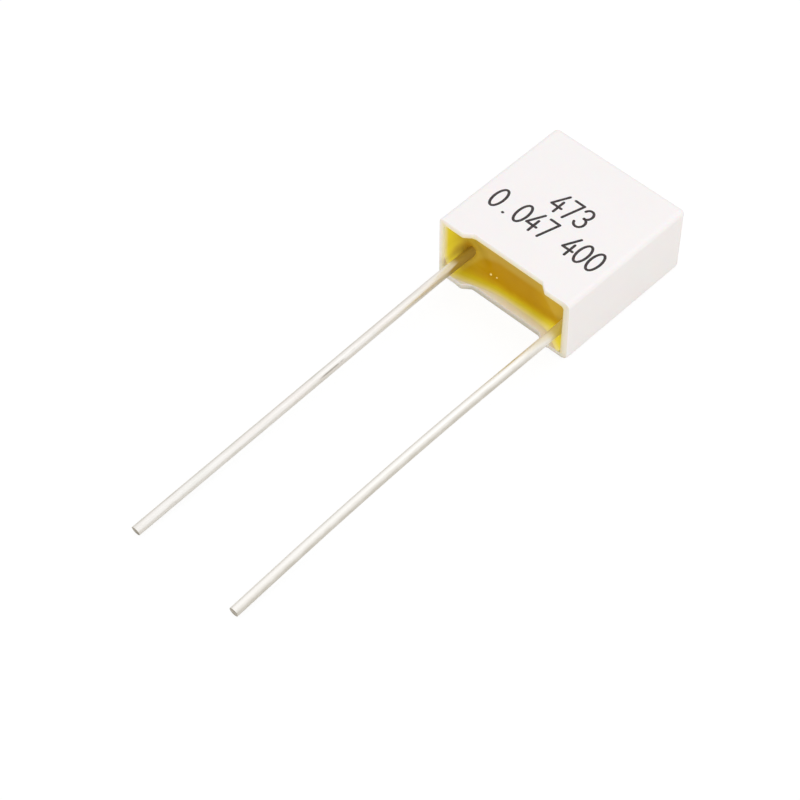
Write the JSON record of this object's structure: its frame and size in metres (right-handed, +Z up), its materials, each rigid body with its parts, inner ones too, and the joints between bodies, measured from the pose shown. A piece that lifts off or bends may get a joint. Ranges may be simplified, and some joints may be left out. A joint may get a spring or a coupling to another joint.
{
  "type": "capacitor",
  "caption": "Box film capacitor: moulded plastic case filled with cast resin, with wire leads that leave its open end.",
  "frame": {"origin": "middle of the lower broad face of the case, on which the part lies", "axes": "+Z is up, across the thickness of the case; +Y points from the leads to the closed end of the case; +X runs across the leads"},
  "size_m": [0.013, 0.0467, 0.0063],
  "materials": {
    "case_plastic": "satin moulded",
    "resin": "glossy cast",
    "film": "glossy wound film",
    "sprayed_metal": "rough sprayed",
    "tinned_wire": "bright tinned"
  },
  "bodies": {
    "root": {"case": "case_plastic", "potting": "resin", "winding": "film", "end_contact_left": "sprayed_metal", "end_contact_right": "sprayed_metal", "lead_left": "tinned_wire", "lead_right": "tinned_wire"}
  },
  "joints": []
}
